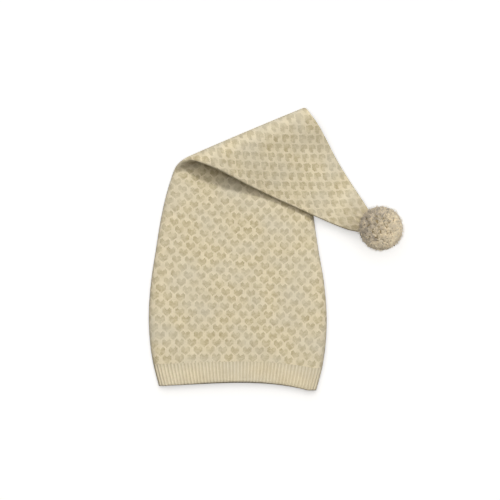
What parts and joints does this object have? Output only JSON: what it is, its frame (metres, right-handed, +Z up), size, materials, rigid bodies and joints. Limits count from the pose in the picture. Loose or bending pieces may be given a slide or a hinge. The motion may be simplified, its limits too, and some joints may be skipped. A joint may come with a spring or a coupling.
{
  "type": "knitted pixie hat",
  "caption": "Long tapering knitted hat laid flat, with a ribbed rim, an all-over pattern of small hearts, its peak folded over to the side and a pompom on the tip.",
  "frame": {"origin": "on the table, under the middle of the folded hat's plan", "axes": "+Z up from the table, -Y the way the rim faces, +X towards the side that the peak is folded to"},
  "size_m": [0.2794, 0.3112, 0.0465],
  "materials": {
    "jacquard_knit": "soft double-bed jacquard in ecru with beige melange hearts",
    "rib_knit": "one by one rib in ecru wool",
    "melange_yarn": "dense cut pile of grey-beige and cream melange yarn"
  },
  "bodies": {
    "root": {"crown": "jacquard_knit", "rib_band": "rib_knit", "pompom": "melange_yarn"}
  },
  "joints": []
}
